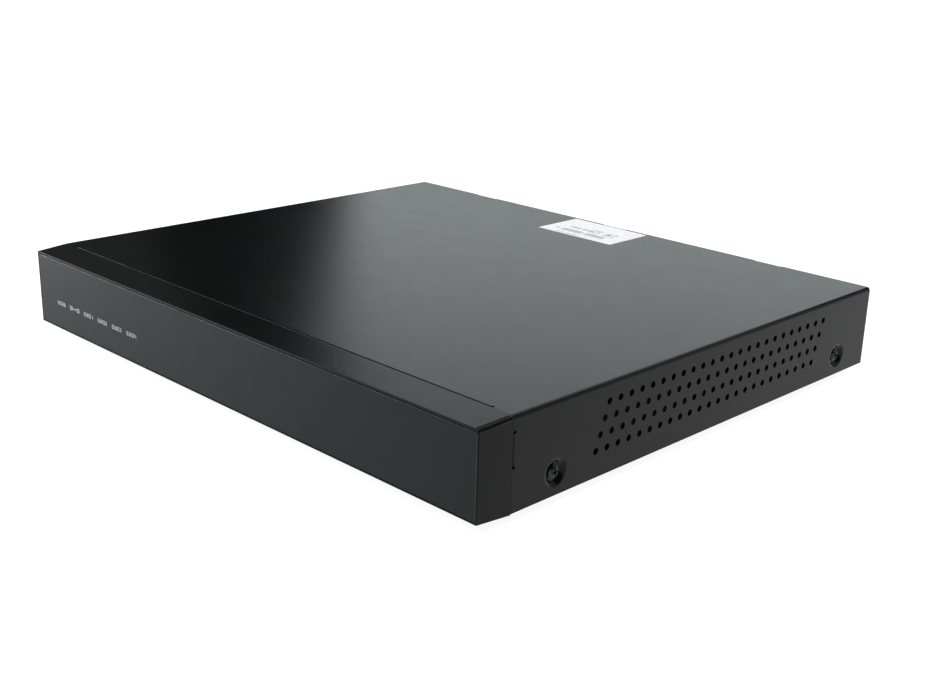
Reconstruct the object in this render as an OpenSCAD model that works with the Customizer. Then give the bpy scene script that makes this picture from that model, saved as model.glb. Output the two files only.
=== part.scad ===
/* [Case] */
// Width of the case
body_w = 440; // [436:1:446]
// Height from the underside of the base to the top of the cover
body_h = 53; // [53:0.5:57]
// Depth of the sheet-metal case behind the front bezel
case_d = 350; // [350:1:370]
// Thickness of the cover, base and rear sheets
sheet = 1; // [0.8:0.1:1]
// Outside radius of the long folded edges
edge_r = 2.5; // [2:0.5:3]
// How far the sides of the cover hang below the base
cover_drop = 0.6; // [0:0.1:1]

/* [Bezel] */
// Depth of the front bezel
bezel_d = 23; // [22:0.5:28]
// Amount by which each side of the bezel closes in towards the front
bezel_draft = 1.5; // [1:0.1:2]
// How far the bezel hangs below the base, where it meets the cover
bezel_drop = 1.1; // [0.8:0.1:1.3]
// Width of the rim above the front panel
rim_top = 1.5; // [1:0.1:2]
// Width of the rim at the sides and below the front panel
rim = 0.7; // [0.6:0.1:1.5]
// Dark groove above the front panel, which rests on the rim below it
groove = 0.6; // [0.4:0.1:0.8]
// Spacing of the front indicators
lamp_pitch = 18.2; // [17:0.1:19]

/* [Vents] */
// Holes in each row
vent_cols = 24; // [8:1:24]
// Rows of holes
vent_rows = 4; // [2:1:4]
// Spacing along a row
vent_pitch = 9.43; // [8:0.01:9.5]
// Spacing between rows
vent_rise = 8.86; // [8:0.01:9]
// Diameter of one hole
vent_dia = 4; // [3:0.1:4.2]

/* [Feet] */
// Height of the rubber feet
foot_h = 6; // [5:0.5:8]
// Diameter of the rubber feet
foot_dia = 22; // [16:1:24]

/* [Drives] */
// Width of one drive
drive_w = 101.6; // [101.6:0.1:101.6]
// Length of one drive
drive_l = 147; // [146:0.1:147]
// Height of one drive
drive_h = 26.1; // [25:0.1:26.1]
// Spacing of the drives across the case
drive_pitch = 106.5; // [103:0.5:106.5]

/* [Fans] */
// Outside width of a fan
fan_w = 40; // [40:1:40]
// Thickness of a fan
fan_t = 20; // [20:1:22]
// Number of blades
fan_blades = 7; // [5:1:9]

/* [Rear connectors] */
// How far the video jacks stand out behind the case
jack_reach = 12; // [10:0.5:14]
// Columns of video jacks, two jacks in each
jack_cols = 8; // [4:1:8]
// Spacing of the columns
jack_pitch = 14; // [14:0.5:14]

/* [Hidden] */
$fn = 48;

// Main planes: x is centred, y runs from the front to the back, z starts under the feet
half_w = body_w / 2;
total_d = bezel_d + case_d + jack_reach;
front_y = -total_d / 2;
seam_y = front_y + bezel_d;
rear_y = seam_y + case_d;
base_z = foot_h;
deck_z = base_z + sheet;
top_z = base_z + body_h;

// Clearances between neighbouring sheets and pieces
fit = 0.1;
touch = 0.05;
fold_r = 1.3;

// Cover folds, relief holes and screw dimples
cover_gap = 0.15;
fold_gap = 0.2;
fold_lip = 9;
top_fold_w = body_w - 31;
side_fold_z = [24.7, 44];
relief_y = 1.3;
relief_dia = 1.9;
notch_x = 165.7;
notch_dia = 1.4;
side_screw_y = [33.7, 315];
side_screw_z = base_z + 12.4;
dimple_depth = 2.2;
dimple_r = [8.8, 5.2];
dimple_steps = 10;
dimple_curve = 1.8;
rear_tab_x = [-140, 0, 140];
rear_tab_w = 22;
rear_tab_h = 10;
rear_screw_z = top_z - 6;

// Vent field, measured from the seam and from the base
vent_y0 = seam_y + 65.8;
vent_z0 = base_z + 15.05;
vent_lean = vent_pitch / 3;

// Base chassis
flange_x = half_w - sheet - fit;
flange_h = 10.5;
screw_tab_h = 22;
screw_tab_w = 22;
fan_tab_h = 48;
front_wall_y = seam_y + 2;
front_wall_h = 42;
panel_y = rear_y - sheet - fit;

// Screws: head radius, head height, shank radius
m4 = [4.15, 2.1, 2];
m3 = [2.8, 1.9, 1.45];
fan_screw = [3.4, 1.9, 2];
foot_recess = 2.6;

// Bezel outlines at the front
bezel_low = base_z - bezel_drop;
bezel_fall = 1.4;
bezel_lift = 1.25;
bezel_front_w = body_w - 2 * bezel_draft;
bezel_front_z = [bezel_low + bezel_lift, top_z - bezel_fall];
bezel_wall = 2.2;
bezel_corner_r = 0.9;
recess_d = 3.2;
recess_z = [bezel_front_z[0] + rim, bezel_front_z[1] - rim_top];
panel_set = 0.1;
panel_rest = 0.1;
side_groove = 0.3;
panel_chamfer = 0.4;
panel_corner_r = 1.8;
wall_back_y = front_y + recess_d + 2;

// Indicators
lamp_count = 6;
lamp_x0 = -189;
lamp_mid_x = lamp_x0 + (lamp_count - 1) * lamp_pitch / 2;
lamp_z = base_z + 26.3;
pipe_r = 0.9;
lamp_board_y = front_y + 11;
lamp_board_x = [-208, -84];
lamp_board_z = [base_z + 15, base_z + 38];
boss_x = [-204, -88];
boss_z = base_z + 34;

// Drives stand on two rails
rail_h = 6;
rail_w = 16;
rail_flange = 6;
drive_front_y = seam_y + 14;
drive_rear_y = drive_front_y + drive_l;
drive_z = deck_z + rail_h;
drive_hole_back = [41.3, 85.7];
drive_hole_w = 95.25;
rail_screw_x = [-205, -53.25, 53.25, 205];
platter_r = 47.5;
spindle_back = 50.8;
platter_z = [9, 13.5];
spindle_post_r = 4;
running_fit = 0.06;

// Main board
board_t = 1.6;
board_z = deck_z + 8;
board_top = board_z + board_t;
main_x = [-57, 211];
main_y = [seam_y + 207, rear_y - 3.4];
main_holes_x = [-51, 24, 200];
main_holes_y = [seam_y + 212, rear_y - 40];
cpu_xy = [60, seam_y + 262];
data_header_x = [-40, -18, 72, 92];
data_header_y = seam_y + 214;

// Power board
power_x = [-212, -112];
power_y = [seam_y + 188, seam_y + 318];
power_holes_x = [-206, -118];
power_holes_y = [seam_y + 194, seam_y + 312];

// Rear connectors, by the x of their centres
jack_x0 = 203;
jack_z = [24, 41];
audio_x = 90;
vga_x = 67;
hdmi_x = 42;
esata_x = 25;
usb_x = 8;
network_x = -9;
terminal_x = -36;
terminal_ways = 8;
terminal_pitch = 3.81;
terminal_w = terminal_ways * terminal_pitch + 2;
rear_fan_x = -83;
fan_z = base_z + 26;
switch_x = -131;
inlet_x = -176;
inlet_z = base_z + 26;
ground_xz = [-112, base_z + 12];
side_fan_y = seam_y + 184;

// Rocker switch: pocket, depth behind the panel, hinge and the angle that the rocker rests at
switch_pocket = [17.9, 10.6];
switch_depth = 18;
hinge_in = 1.6;
hinge_r = 1.2;
rocker_lean = 12;

// Fans
fan_hole = 16;
hub_r = 8.5;
blade_reach = fan_w / 2 - 1.7;
blade_tilt = 40;
fan_post_r = 2.5;
motor_plate = 2;

steel_black = [0.11, 0.11, 0.12];
plastic_black = [0.14, 0.14, 0.15];
board_green = [0.05, 0.3, 0.15];
bright_metal = [0.75, 0.75, 0.77];

// ---------- shared shapes ----------

// Extrudes an outline drawn in (y, z) from x0 to x1
module along_x(x0, x1) {
    translate([x0, 0, 0]) rotate([90, 0, 90]) linear_extrude(x1 - x0) children();
}

// Extrudes an outline drawn in (x, z) from y0 to y1
module along_y(y0, y1) {
    translate([0, y1, 0]) rotate([90, 0, 0]) linear_extrude(y1 - y0) children();
}

module box(low, high) {
    translate(low) cube(high - low);
}

// Rectangle centred on the origin with rounded corners
module rounded(w, h, r) {
    square([w - 2 * r, h], center = true);
    square([w, h - 2 * r], center = true);
    for (sx = [-1, 1], sy = [-1, 1]) translate([sx * (w / 2 - r), sy * (h / 2 - r)]) circle(r);
}

// Rectangle standing on the x axis with its two upper corners rounded
module arch(w, h, r) {
    translate([-w / 2, 0]) square([w, h - r]);
    translate([-w / 2 + r, 0]) square([w - 2 * r, h]);
    for (side = [-1, 1]) translate([side * (w / 2 - r), h - r]) circle(r);
}

// Rectangle hanging from the x axis with its upper left corner rounded
module corner_block(w, h, r) {
    translate([r, -h]) square([w - r, h]);
    translate([0, -h]) square([w, h - r]);
    translate([r, -r]) circle(r);
}

// Sheet that arrives along +y at z = 0 and folds down at y = 0, centred on x
module fold(length, lip, run) {
    along_x(-length / 2, length / 2) difference() {
        corner_block(run, lip, fold_r);
        translate([sheet, -sheet]) corner_block(run, lip, fold_r - sheet);
    }
}

// Space that a fold takes out of the flat sheet
module fold_space(length) {
    box([-length / 2, -fold_r, -sheet - fit], [length / 2, fold_r + touch, fit]);
}

// Pan-head screw pointing down, its head standing on z = 0, with a cross recess
module screw(size, length) {
    head_r = size[0];
    head_h = size[1];
    dome_r = head_r * 1.7;
    arm = head_r * 1.05;
    slot = head_r * 0.26;
    difference() {
        rotate_extrude() intersection() {
            square([head_r, head_h]);
            translate([0, head_h - dome_r]) circle(dome_r, $fn = 96);
        }
        for (turn = [0, 90]) rotate([0, 0, turn]) {
            translate([-arm / 2, -slot / 2, head_h * 0.4]) cube([arm, slot, head_h]);
        }
    }
    translate([0, 0, -length]) cylinder(h = length, r = size[2]);
}

// The same screw with its head towards the back
module screw_from_behind(size, length) {
    rotate([-90, 0, 0]) screw(size, length);
}

// Round lead along an axis-aligned route, with quarter-circle bends
module route(points, r, bend) {
    last = len(points) - 1;
    for (i = [0:last - 1]) {
        step = points[i + 1] - points[i];
        dir = step / norm(step);
        start = i == 0 ? 0 : bend;
        end = i == last - 1 ? 0 : bend;
        translate(points[i] + start * dir) rotate([0, acos(dir.z), atan2(dir.y, dir.x)]) {
            cylinder(h = norm(step) - start - end, r = r);
        }
    }
    for (i = [1:last - 1]) {
        before = points[i] - points[i - 1];
        after = points[i + 1] - points[i];
        elbow(points[i], before / norm(before), after / norm(after), r, bend);
    }
}

// Quarter bend at a corner between the directions a and b
module elbow(corner, a, b, r, bend) {
    n = cross(a, b);
    c = corner + bend * (b - a);
    multmatrix([
        [-b.x, a.x, n.x, c.x],
        [-b.y, a.y, n.y, c.y],
        [-b.z, a.z, n.z, c.z],
        [0, 0, 0, 1],
    ]) rotate_extrude(angle = 90) translate([bend, 0]) circle(r);
}

// ---------- enclosure ----------

module vent_outline() {
    for (row = [0:vent_rows - 1], col = [0:vent_cols - 1]) {
        translate([vent_y0 + row * vent_lean + col * vent_pitch, vent_z0 + row * vent_rise]) {
            circle(d = vent_dia, $fn = 24);
        }
    }
}

// Dish pressed inwards: a flat floor, then a wall that flattens out towards its rim. Its rim lies at
// z = -set_back, and grow widens it
module dimple(grow, set_back) {
    wide = dimple_r[0] - dimple_r[1];
    top = sheet / 2 - set_back;
    rotate_extrude() polygon(concat(
        [[0, top], [0, -dimple_depth - set_back]],
        [for (i = [0:dimple_steps]) let (t = i / dimple_steps) [
            dimple_r[1] + grow + wide * t, -dimple_depth * pow(1 - t, dimple_curve) - set_back,
        ]],
        [[dimple_r[0] + grow, top]]
    ));
}

// The hollow in a sheet whose outer face is at z = 0
module dimple_outside(grow) {
    dimple(grow, 0);
}

// The metal behind the hollow
module dimple_inside(grow) {
    dimple(grow + sheet, sheet);
}

module screw_hole(room) {
    translate([0, 0, -2 * dimple_depth]) cylinder(h = 2 * dimple_depth, r = m4[2] + room);
}

// Places a child, drawn pointing up at the origin, on the outside of both side walls at each screw
module at_side_screws(x) {
    for (side = [-1, 1], y = side_screw_y) {
        translate([side * x, seam_y + y, side_screw_z]) rotate([0, side * 90, 0]) children();
    }
}

module cover_shell() {
    h = body_h + cover_drop;
    along_y(seam_y + cover_gap, rear_y) translate([0, top_z - h]) difference() {
        arch(body_w, h, edge_r);
        translate([0, -fit]) arch(body_w - 2 * sheet, h - sheet + fit, edge_r - sheet);
    }
}

module at_side_folds() {
    mid = base_z + (side_fold_z[0] + side_fold_z[1]) / 2;
    for (side = [-1, 1]) {
        translate([side * half_w, seam_y + fold_gap, mid]) rotate([0, side * 90, 0]) children();
    }
}

module at_rear_tabs() {
    for (x = rear_tab_x) translate([x, rear_y, top_z]) rotate([0, 0, 180]) children();
}

module cover_relief_holes() {
    for (side = [-1, 1]) {
        translate([side * top_fold_w / 2, seam_y + relief_y, top_z - fold_lip]) {
            cylinder(h = 2 * fold_lip, d = relief_dia);
        }
        translate([side * notch_x, seam_y + fold_gap, top_z - fold_lip]) {
            cylinder(h = 2 * fold_lip, d = notch_dia);
        }
    }
    for (z = side_fold_z) {
        along_x(-body_w, body_w) translate([seam_y + relief_y, base_z + z]) circle(d = relief_dia);
    }
}

module top_cover() {
    side_fold_w = side_fold_z[1] - side_fold_z[0];
    color(steel_black) difference() {
        union() {
            difference() {
                cover_shell();
                translate([0, seam_y + fold_gap, top_z]) fold_space(top_fold_w);
                at_side_folds() fold_space(side_fold_w);
                at_rear_tabs() fold_space(rear_tab_w);
            }
            translate([0, seam_y + fold_gap, top_z]) fold(top_fold_w, fold_lip, 3);
            at_side_folds() fold(side_fold_w, fold_lip, 3);
            at_rear_tabs() fold(rear_tab_w, rear_tab_h, 3);
            at_side_screws(half_w) dimple_inside(0);
        }
        at_side_screws(half_w) dimple_outside(0);
        at_side_screws(half_w) screw_hole(0.3);
        along_x(-body_w, body_w) vent_outline();
        cover_relief_holes();
        for (x = rear_tab_x) translate([0, 0, rear_screw_z]) {
            along_y(rear_y - 3, rear_y + 1) translate([x, 0]) circle(m3[2] + 0.2);
        }
    }
}

// Side view of the base: a low flange with taller tabs at the screws and, on one side, at the fan
module base_side_view(with_fan) {
    start = front_wall_y + fold_r + 1;
    translate([start, base_z]) square([panel_y - sheet - start, flange_h]);
    for (y = side_screw_y) {
        translate([seam_y + y - screw_tab_w / 2, base_z]) square([screw_tab_w, screw_tab_h]);
    }
    if (with_fan) {
        translate([side_fan_y - fan_w / 2 - 3, base_z]) square([fan_w + 6, fan_tab_h]);
    }
}

module base_pan() {
    for (side = [-1, 1]) intersection() {
        along_y(front_wall_y, rear_y) translate([0, top_z]) mirror([0, 1]) difference() {
            arch(2 * flange_x, body_h, fold_r);
            arch(2 * (flange_x - sheet), body_h - sheet, fold_r - sheet);
        }
        along_x(side > 0 ? 0 : -half_w, side > 0 ? half_w : 0) base_side_view(side > 0);
    }
    translate([0, front_wall_y, base_z]) mirror([0, 0, 1]) fold(2 * flange_x - 12, front_wall_h, 8);
}

// Holes through the bottom for the feet, the rails, the standoffs and the rear panel
module bottom_holes() {
    for (p = foot_places()) translate([p.x, p.y, base_z - 1]) cylinder(h = 3, r = m4[2] + touch);
    for (p = concat(rail_screw_places(), panel_screw_places())) {
        translate([p.x, p.y, base_z - 1]) cylinder(h = 3, r = m3[2] + touch);
    }
}

module bottom_slots() {
    for (x = [-150:12:150], y = [20, 135]) {
        translate([x, seam_y + y, base_z - 1]) linear_extrude(3) rounded(4, 18, 1.9);
    }
}

module base_chassis() {
    color([0.16, 0.16, 0.17]) difference() {
        union() {
            base_pan();
            at_side_screws(flange_x) dimple_inside(sheet / 2);
        }
        at_side_screws(flange_x) dimple_outside(sheet);
        at_side_screws(flange_x) screw_hole(touch);
        bottom_holes();
        bottom_slots();
        along_x(0, half_w) translate([side_fan_y, fan_z]) fan_opening();
        along_y(front_wall_y - 1, front_wall_y + 3) {
            translate([-96, base_z + front_wall_h]) square([14, 24], center = true);
            for (x = [-150, -40, 40, 150]) translate([x, base_z + 20]) rounded(60, 20, 2);
        }
    }
}

function foot_places() = [
    for (side = [-1, 1], y = [seam_y + 44, rear_y - 42]) [side * (half_w - 36), y]
];
function rail_places() = [for (back = drive_hole_back) drive_rear_y - back];
function rail_screw_places() = [
    for (i = [0, 1], x = rail_screw_x) [x, rail_places()[i] + (rail_w + rail_flange) / 2]
];
function panel_screw_places() = [for (x = [-190, -60, 60, 190]) [x, panel_y - 7]];
function drive_x(i) = (i - 1.5) * drive_pitch;

// Bore and screw holes of a fan, centred on the origin
module fan_opening() {
    circle(fan_w / 2 - 1);
    for (sx = [-1, 1], sy = [-1, 1]) translate([sx, sy] * fan_hole) circle(m3[2] + touch);
}

// Ring slots of the finger guard with four spokes left between them
module fan_guard() {
    difference() {
        for (r = [6, 11, 16]) difference() {
            circle(r + 3.2);
            circle(r);
        }
        for (turn = [45, 135]) rotate([0, 0, turn]) square([fan_w * 2, 2], center = true);
    }
    for (sx = [-1, 1], sy = [-1, 1]) translate([sx, sy] * fan_hole) circle(fan_screw[2] + fit);
}

// D-shaped outline of a VGA plug face
module d_outline(w, h) {
    lean = h * 0.18;
    polygon([[-w / 2, h / 2], [w / 2, h / 2], [w / 2 - lean, -h / 2], [-w / 2 + lean, -h / 2]]);
}

module rear_cutouts() {
    for (p = jack_places()) translate(p) circle(4.95);
    for (z = [0, 14]) translate([audio_x, board_top + 6.5 + z]) circle(4.4);
    translate([vga_x, board_top + 6.4]) {
        d_outline(18, 9.6);
        for (side = [-1, 1]) translate([side * 12.5, 0]) circle(1.8);
    }
    translate([hdmi_x, board_top + 3.3]) square([15.6, 6.2], center = true);
    translate([esata_x, board_top + 3.8]) square([14.6, 7.2], center = true);
    translate([usb_x, board_top + 8]) square([14.9, 16.3], center = true);
    translate([network_x, board_top + 6.9]) square([16.3, 14.2], center = true);
    translate([terminal_x, board_top + 5.6]) square([terminal_w + 0.6, 11.6], center = true);
    translate([rear_fan_x, fan_z]) fan_guard();
    translate([switch_x, inlet_z]) square([19.4, 13.4], center = true);
    translate([inlet_x, inlet_z]) {
        rounded(28, 20.4, 0.5);
        for (side = [-1, 1]) translate([side * 20, 0]) circle(m3[2] + touch);
    }
    translate(ground_xz) circle(m4[2] + touch);
    for (x = rear_tab_x) translate([x, rear_screw_z]) circle(m3[2] + touch);
}

module rear_panel() {
    low = deck_z + fit;
    high = top_z - sheet - 0.5;
    w = 2 * (flange_x - sheet - fit);
    color(steel_black) difference() {
        union() {
            along_y(panel_y - sheet, panel_y) difference() {
                translate([-w / 2, low + 2]) square([w, high - low - 2]);
                rear_cutouts();
            }
            translate([0, panel_y, low]) rotate([0, 0, 180]) mirror([0, 0, 1]) {
                fold(w - 2, 4, 14);
            }
        }
        for (p = panel_screw_places()) translate([p.x, p.y, deck_z]) cylinder(h = 3, r = m3[2] + touch);
    }
}

// Folded outline swept from the seam to the front while it drops and moves sideways by shift
module bezel_sweep(shift) {
    across = shift / bezel_d;
    down = bezel_fall / bezel_d;
    multmatrix([
        [1, -across, 0, across * seam_y],
        [0, 1, 0, 0],
        [0, down, 1, -down * seam_y],
        [0, 0, 0, 1],
    ]) along_y(front_y, seam_y) translate([0, bezel_low]) arch(body_w, top_z - bezel_low, edge_r);
}

// Plan of the rounded corners at the front, with room to spare at the leaning sides
module bezel_plan() {
    lean = atan(bezel_draft / bezel_d);
    reach = bezel_corner_r * (1 - sin(lean));
    mid_x = bezel_front_w / 2 + reach * tan(lean) - bezel_corner_r * cos(lean);
    full_y = front_y + reach;
    polygon([[-mid_x, front_y], [mid_x, front_y], [mid_x, seam_y], [-mid_x, seam_y]]);
    translate([-half_w, full_y]) square([body_w, seam_y - full_y]);
    for (side = [-1, 1]) translate([side * mid_x, front_y + bezel_corner_r]) circle(bezel_corner_r);
}

// The two sweeps leave a block that closes in evenly from both sides; its underside rises to the front
module bezel_block() {
    intersection() {
        translate([0, 0, bezel_low - 1]) linear_extrude(body_h + 4) bezel_plan();
        bezel_sweep(bezel_draft);
        bezel_sweep(-bezel_draft);
        along_x(-half_w, half_w) polygon([
            [seam_y, bezel_low], [seam_y, top_z],
            [front_y, top_z], [front_y, bezel_front_z[0]],
        ]);
    }
}

module recess_outline() {
    mid = (recess_z[0] + recess_z[1]) / 2;
    translate([0, mid]) rounded(bezel_front_w - 2 * rim, recess_z[1] - recess_z[0], panel_corner_r + groove);
}

// Rounded outline of the front panel, made smaller by inset on every side
module panel_outline(inset) {
    low = recess_z[0] + panel_rest + inset;
    high = recess_z[1] - groove - inset;
    w = bezel_front_w - 2 * (rim + side_groove + inset);
    translate([0, (low + high) / 2]) rounded(w, high - low, panel_corner_r - inset);
}

module bezel_cavity() {
    low = bezel_front_z[0] + bezel_wall;
    high = bezel_front_z[1] - bezel_wall;
    translate([0, (low + high) / 2]) rounded(bezel_front_w - 2 * bezel_wall, high - low, 1);
}

module front_bezel() {
    color(steel_black) {
        difference() {
            bezel_block();
            along_y(front_y - 1, front_y + recess_d) recess_outline();
            along_y(wall_back_y, seam_y + 1) bezel_cavity();
            along_y(front_y, wall_back_y + 1) translate([lamp_mid_x, lamp_z]) {
                rounded(lamp_count * lamp_pitch, 9, 2);
            }
        }
        for (x = boss_x) along_y(wall_back_y - touch, lamp_board_y) translate([x, boss_z]) difference() {
            circle(3.5);
            circle(m3[2] + touch);
        }
    }
}

module front_panel() {
    front = front_y + panel_set;
    color(plastic_black) difference() {
        hull() {
            along_y(front + panel_chamfer, front_y + recess_d - touch) panel_outline(0);
            along_y(front, front + panel_chamfer) panel_outline(panel_chamfer);
        }
        along_y(front - 1, front_y + recess_d) for (i = [0:lamp_count - 1]) {
            translate([lamp_x0 + i * lamp_pitch, lamp_z]) circle(pipe_r + touch);
        }
    }
}

module top_label() {
    color("white") translate([-1.5, rear_y - 25.5, top_z]) linear_extrude(0.12) rounded(71, 45, 1.5);
}

module rubber_feet() {
    color([0.08, 0.08, 0.08]) for (p = foot_places()) translate([p.x, p.y, 0]) difference() {
        cylinder(h = foot_h - touch, d1 = foot_dia - 3, d2 = foot_dia);
        translate([0, 0, -1]) cylinder(h = foot_recess + 1, r = m4[0] + 0.5);
        cylinder(h = foot_h, r = m4[2] + touch);
    }
}

// ---------- fasteners ----------

module cover_side_screws() {
    color([0.2, 0.2, 0.21]) at_side_screws(half_w - dimple_depth) screw(m4, 5.5);
}

module cover_rear_screws() {
    color([0.2, 0.2, 0.21]) for (x = rear_tab_x) {
        translate([x, rear_y, rear_screw_z]) screw_from_behind(m3, 5);
    }
}

module chassis_screws() {
    color(bright_metal) {
        for (x = main_holes_x, y = main_holes_y) translate([x, y, board_top]) screw(m3, 6);
        for (x = power_holes_x, y = power_holes_y) translate([x, y, board_top]) screw(m3, 6);
        for (p = rail_screw_places()) translate([p.x, p.y, deck_z + touch + sheet]) screw(m3, 2);
        for (p = panel_screw_places()) translate([p.x, p.y, deck_z + fit + sheet]) screw(m3, 2);
        for (x = boss_x) translate([x, lamp_board_y + board_t + touch, boss_z]) screw_from_behind(m3, 6);
        translate([ground_xz[0], panel_y, ground_xz[1]]) screw_from_behind(m4, 6);
    }
}

module drive_screws() {
    color(bright_metal) for (i = [0:3], y = rail_places(), side = [-1, 1]) {
        translate([drive_x(i) + side * drive_hole_w / 2, y, drive_z - sheet]) {
            mirror([0, 0, 1]) screw(m3, 4.5);
        }
    }
}

module foot_screws() {
    color(bright_metal) for (p = foot_places()) translate([p.x, p.y, foot_recess]) {
        mirror([0, 0, 1]) screw([m4[0], 1.8, m4[2]], 5.4);
    }
}

module fan_screws() {
    color(bright_metal) for (sx = [-1, 1], sz = [-1, 1]) {
        translate([rear_fan_x + sx * fan_hole, panel_y, fan_z + sz * fan_hole]) {
            screw_from_behind(fan_screw, 9);
        }
        translate([flange_x - sheet - fit - fan_t, side_fan_y + sx * fan_hole, fan_z + sz * fan_hole]) {
            rotate([0, -90, 0]) screw(m3, fan_t + sheet + fit);
        }
    }
}

module inlet_screws() {
    color(bright_metal) for (side = [-1, 1]) {
        translate([inlet_x + side * 20, panel_y + 3, inlet_z]) rotate([-90, 0, 0]) screw(m3, 8);
    }
}

// ---------- front indicators ----------

module indicator_board() {
    color(board_green) along_y(lamp_board_y + touch, lamp_board_y + board_t) difference() {
        translate([lamp_board_x[0], lamp_board_z[0]]) {
            square([lamp_board_x[1] - lamp_board_x[0], lamp_board_z[1] - lamp_board_z[0]]);
        }
        for (x = boss_x) translate([x, boss_z]) circle(m3[2] + 0.2);
    }
}

module indicator_lamps() {
    color([0.9, 0.9, 0.8]) for (i = [0:lamp_count - 1]) {
        along_y(lamp_board_y - 1.1, lamp_board_y) translate([lamp_x0 + i * lamp_pitch, lamp_z]) {
            square([3.2, 1.8], center = true);
        }
    }
}

module light_pipes() {
    color([0.55, 0.58, 0.6]) for (i = [0:lamp_count - 1]) translate([lamp_x0 + i * lamp_pitch, 0, lamp_z]) {
        along_y(front_y + panel_set + 0.05, lamp_board_y - 1.2) circle(pipe_r);
        along_y(front_y + recess_d + 0.1, lamp_board_y - 3) circle(pipe_r + 1.1);
    }
}

// ---------- storage ----------

module drive_rails() {
    reach = rail_w / 2;
    foot = reach + rail_flange;
    color([0.6, 0.61, 0.63]) for (y = rail_places()) difference() {
        translate([0, y, deck_z + touch]) along_x(-flange_x + 6, flange_x - 6) polygon([
            [-foot, 0], [-reach + sheet, 0], [-reach + sheet, rail_h - sheet - touch],
            [reach - sheet, rail_h - sheet - touch], [reach - sheet, 0], [foot, 0],
            [foot, sheet], [reach, sheet], [reach, rail_h - touch],
            [-reach, rail_h - touch], [-reach, sheet], [-foot, sheet],
        ]);
        for (i = [0:3], side = [-1, 1]) translate([drive_x(i) + side * drive_hole_w / 2, y, drive_z - 3]) {
            cylinder(h = 4, r = m3[2] + 0.2);
        }
        for (x = rail_screw_x) translate([x, y + (rail_w + rail_flange) / 2, deck_z]) {
            cylinder(h = 3, r = m3[2] + touch);
        }
    }
}

// Drive case: cast base with a platter well, a board recess and a thin lid
module drive(i) {
    lid_t = 1;
    board_recess = 2.2;
    well_z = 7;
    color([0.45, 0.46, 0.48]) translate([drive_x(i), drive_front_y, drive_z]) {
        difference() {
            translate([0, drive_l / 2, 0]) {
                linear_extrude(drive_h - lid_t - touch) rounded(drive_w, drive_l, 2);
            }
            translate([0, spindle_back, well_z]) cylinder(h = drive_h, r = platter_r + 1.6, $fn = 96);
            translate([-34, spindle_back + 30, well_z]) cube([68, 58, drive_h]);
            translate([-40, 30, -1]) cube([80, drive_l, board_recess + 1]);
            for (back = drive_hole_back, side = [-1, 1]) {
                translate([side * drive_hole_w / 2, drive_l - back, -1]) cylinder(h = 5, r = m3[2] + touch);
            }
        }
        translate([0, spindle_back, well_z - 1]) cylinder(h = platter_z[1] + 3 - well_z, r = spindle_post_r);
        translate([0, drive_l / 2, drive_h - lid_t]) {
            linear_extrude(lid_t) rounded(drive_w - 3, drive_l - 3, 3);
        }
    }
}

module drive_1() { drive(0); }
module drive_2() { drive(1); }
module drive_3() { drive(2); }
module drive_4() { drive(3); }

module platters(i) {
    hub_low = 7.4;
    color([0.8, 0.8, 0.82]) translate([drive_x(i), drive_front_y + spindle_back, drive_z]) difference() {
        union() {
            translate([0, 0, hub_low]) cylinder(h = platter_z[1] + 4 - hub_low, r = 12.5);
            for (z = platter_z) translate([0, 0, z]) cylinder(h = 1.3, r = platter_r, $fn = 96);
        }
        translate([0, 0, hub_low - 1]) {
            cylinder(h = platter_z[1] + 3.3 - hub_low, r = spindle_post_r + running_fit);
        }
    }
}

module drive_1_platters() { platters(0); }
module drive_2_platters() { platters(1); }
module drive_3_platters() { platters(2); }
module drive_4_platters() { platters(3); }

module drive_boards() {
    color(board_green) for (i = [0:3]) translate([drive_x(i), drive_front_y, drive_z]) {
        translate([-39, 32, 0.4]) cube([78, drive_l - 32, board_t]);
    }
}

// ---------- main board ----------

module board(x, y, holes_x, holes_y) {
    difference() {
        box([x[0], y[0], board_z + touch], [x[1], y[1], board_top]);
        for (hx = holes_x, hy = holes_y) translate([hx, hy, board_z - 1]) cylinder(h = 4, r = m3[2] + 0.2);
    }
}

module main_board() {
    color(board_green) board(main_x, main_y, main_holes_x, main_holes_y);
}

module board_standoffs() {
    color([0.8, 0.7, 0.4]) {
        for (x = main_holes_x, y = main_holes_y) translate([x, y, deck_z + touch]) standoff();
        for (x = power_holes_x, y = power_holes_y) translate([x, y, deck_z + touch]) standoff();
    }
}

module standoff() {
    difference() {
        cylinder(h = board_z - deck_z - touch, r = 3, $fn = 6);
        translate([0, 0, 2]) cylinder(h = board_z - deck_z, r = m3[2] + touch);
    }
}

module processor() {
    color([0.12, 0.12, 0.13]) translate([cpu_xy.x, cpu_xy.y, board_top + touch]) {
        translate([-13.5, -13.5, 0]) cube([27, 27, 1.4]);
        translate([-10, -10, 1.4]) cube([20, 20, 1]);
    }
}

module heat_sink() {
    size = 45;
    fins = 9;
    fin_t = 1.4;
    low = board_top + 2.5;
    color(bright_metal) translate([cpu_xy.x - size / 2, cpu_xy.y - size / 2, low]) {
        cube([size, size, 3]);
        for (i = [0:fins - 1]) translate([i * (size - fin_t) / (fins - 1), 0, 2]) cube([fin_t, size, 17]);
    }
}

module memory_chips() {
    color([0.12, 0.12, 0.13]) for (i = [0:3]) {
        translate([cpu_xy.x - 60 + i * 15, cpu_xy.y + 28, board_top + touch]) cube([11, 8, 1.1]);
        translate([cpu_xy.x + 34, cpu_xy.y - 30 + i * 15, board_top + touch]) cube([8, 11, 1.1]);
    }
}

// Open header that a lead's plug pushes into
module header(w, d, h) {
    translate([0, 0, h / 2]) difference() {
        cube([w, d, h], center = true);
        translate([0, 0, 1.5]) cube([w - 2, d - 2, h], center = true);
    }
}

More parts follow.
